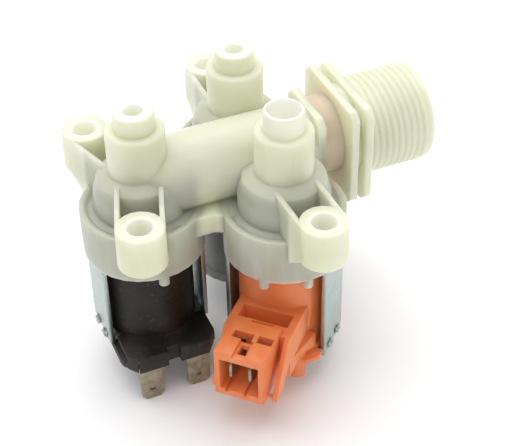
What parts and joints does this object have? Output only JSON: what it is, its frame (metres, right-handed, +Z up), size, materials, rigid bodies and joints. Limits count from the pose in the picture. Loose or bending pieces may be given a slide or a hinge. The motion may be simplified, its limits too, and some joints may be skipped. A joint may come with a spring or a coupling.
{
  "type": "solenoid inlet valve",
  "caption": "Washing machine water inlet valve: threaded inlet stub with mounting plates, upright hose spigots, screw lugs, and plug-in coils in steel yokes below.",
  "frame": {"origin": "centre of the part's box in plan, at the level of the spade tips", "axes": "+X along the inlet towards its threaded end, +Z up along the outlets, -Y towards the spades of coil 1"},
  "size_m": [0.0928, 0.0878, 0.0805],
  "materials": {
    "body_nylon": "natural glass-filled nylon, slightly translucent",
    "black_nylon": "black moulded coil, fine texture",
    "orange_nylon": "orange moulded coil, fine texture",
    "grey_nylon": "grey moulded coil, fine texture",
    "zinc_steel": "blue-passivated zinc on folded sheet",
    "terminal_metal": "dull tinned terminals",
    "plunger_steel": "turned magnetic stainless steel",
    "spring_steel": "bright spring wire",
    "rubber": "moulded black rubber",
    "white_acetal": "white acetal",
    "red_acetal": "pale red acetal"
  },
  "bodies": {
    "valve": {"valve_body": "body_nylon", "flow_regulator_holder": "red_acetal", "flow_regulator_ring": "rubber", "inlet_strainer": "white_acetal", "diaphragm_1": "rubber", "diaphragm_2": "rubber", "diaphragm_3": "rubber", "guide_tube_1": "white_acetal", "guide_tube_2": "white_acetal", "guide_tube_3": "white_acetal", "spring_1": "spring_steel", "spring_2": "spring_steel", "spring_3": "spring_steel", "yoke_1": "zinc_steel", "yoke_2": "zinc_steel", "yoke_3": "zinc_steel", "yoke_plate_1": "zinc_steel", "yoke_plate_2": "zinc_steel", "yoke_plate_3": "zinc_steel", "coil_1": "black_nylon", "coil_2": "orange_nylon", "coil_3": "grey_nylon", "terminal_1a": "terminal_metal", "terminal_1b": "terminal_metal", "terminal_2a": "terminal_metal", "terminal_2b": "terminal_metal", "terminal_3a": "terminal_metal", "terminal_3b": "terminal_metal"},
    "plunger_body_1": {"plunger_1": "plunger_steel", "plunger_seal_1": "rubber"},
    "plunger_body_2": {"plunger_2": "plunger_steel", "plunger_seal_2": "rubber"},
    "plunger_body_3": {"plunger_3": "plunger_steel", "plunger_seal_3": "rubber"},
    "insert_body_1": {"diaphragm_insert_1": "white_acetal"},
    "insert_body_2": {"diaphragm_insert_2": "white_acetal"},
    "insert_body_3": {"diaphragm_insert_3": "white_acetal"}
  },
  "joints": [
    {"name": "plunger_travel_1", "type": "slide", "parent": "valve", "child": "plunger_body_1", "axis": [0, 0, -1], "range_m": [0, 0.003], "stiffness_N_per_m": 100, "springref_m": -0.004, "deforming": ["spring_1"]},
    {"name": "plunger_travel_2", "type": "slide", "parent": "valve", "child": "plunger_body_2", "axis": [0, 0, -1], "range_m": [0, 0.003], "stiffness_N_per_m": 100, "springref_m": -0.004, "deforming": ["spring_2"]},
    {"name": "plunger_travel_3", "type": "slide", "parent": "valve", "child": "plunger_body_3", "axis": [0, 0, -1], "range_m": [0, 0.003], "stiffness_N_per_m": 100, "springref_m": -0.004, "deforming": ["spring_3"]},
    {"name": "insert_travel_1", "type": "slide", "parent": "valve", "child": "insert_body_1", "axis": [0, 0, -1], "range_m": [0, 0.00125]},
    {"name": "insert_travel_2", "type": "slide", "parent": "valve", "child": "insert_body_2", "axis": [0, 0, -1], "range_m": [0, 0.00125]},
    {"name": "insert_travel_3", "type": "slide", "parent": "valve", "child": "insert_body_3", "axis": [0, 0, -1], "range_m": [0, 0.00125]}
  ],
  "couplings": [
    {"joint": "insert_travel_1", "follows": "plunger_travel_1", "ratio": 0.4},
    {"joint": "insert_travel_2", "follows": "plunger_travel_2", "ratio": 0.4},
    {"joint": "insert_travel_3", "follows": "plunger_travel_3", "ratio": 0.4}
  ]
}
